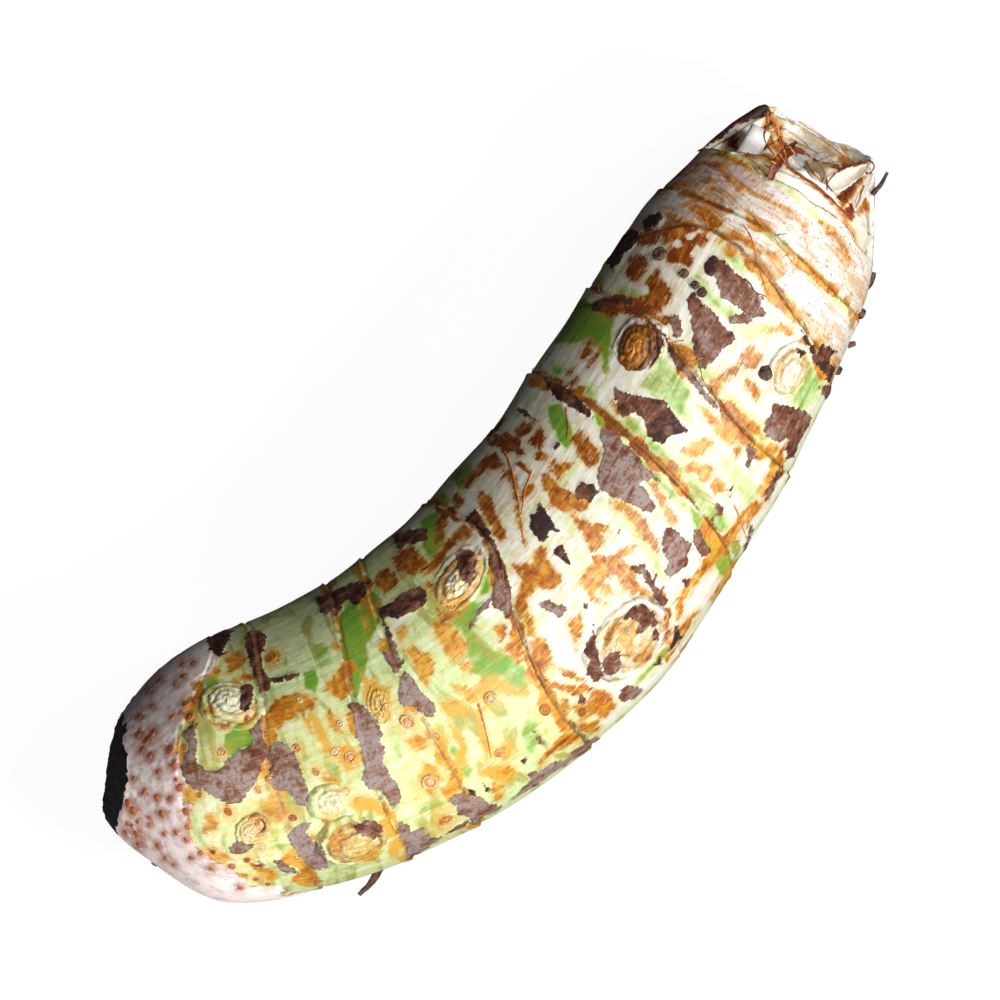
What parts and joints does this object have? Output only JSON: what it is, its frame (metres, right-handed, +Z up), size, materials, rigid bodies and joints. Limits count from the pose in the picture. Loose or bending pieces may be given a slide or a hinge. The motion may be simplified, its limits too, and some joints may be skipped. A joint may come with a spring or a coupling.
{
  "type": "taro root",
  "caption": "Long curved taro corm lying on its side, with leaf-scar rings, side buds and a cut crown of nested leaf-sheath bases.",
  "frame": {"origin": "middle of the bounding box on the surface that the corm lies on", "axes": "+X along the chord of the bend, from the broken root end to the cut crown; +Y towards the hollow side of the bend; +Z up"},
  "size_m": [0.2848, 0.1028, 0.0789],
  "materials": {
    "taro_skin": "scraped raw corm: damp cream and pale green flesh with rust-brown streaks and patches of dry grey-brown skin"
  },
  "bodies": {
    "root": {"taro_corm": "taro_skin"}
  },
  "joints": []
}
